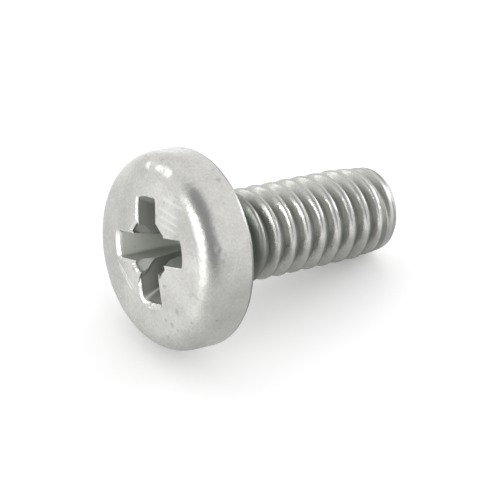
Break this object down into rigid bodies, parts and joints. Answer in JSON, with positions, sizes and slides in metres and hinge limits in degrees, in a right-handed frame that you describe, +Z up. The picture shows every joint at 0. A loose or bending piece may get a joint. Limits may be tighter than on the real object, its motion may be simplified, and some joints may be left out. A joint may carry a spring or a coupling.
{
  "type": "machine screw",
  "caption": "Small pan head machine screw with a cross recess in its flat crowned head and a short right-hand thread, for clamping thin parts to a tapped hole or a nut.",
  "frame": {"origin": "on the ground, under the middle of the screw as it lies at rest", "axes": "+X runs level from the head to the tip, +Y lies across the screw and +Z is up; the screw's own axis dips towards the tip, because the head is wider than the thread"},
  "size_m": [0.0124, 0.0082, 0.0082],
  "materials": {
    "zinc_plate": "bright zinc plate on steel, satin, light silver grey, faintly mottled"
  },
  "bodies": {
    "root": {"machine_screw": "zinc_plate"}
  },
  "joints": []
}
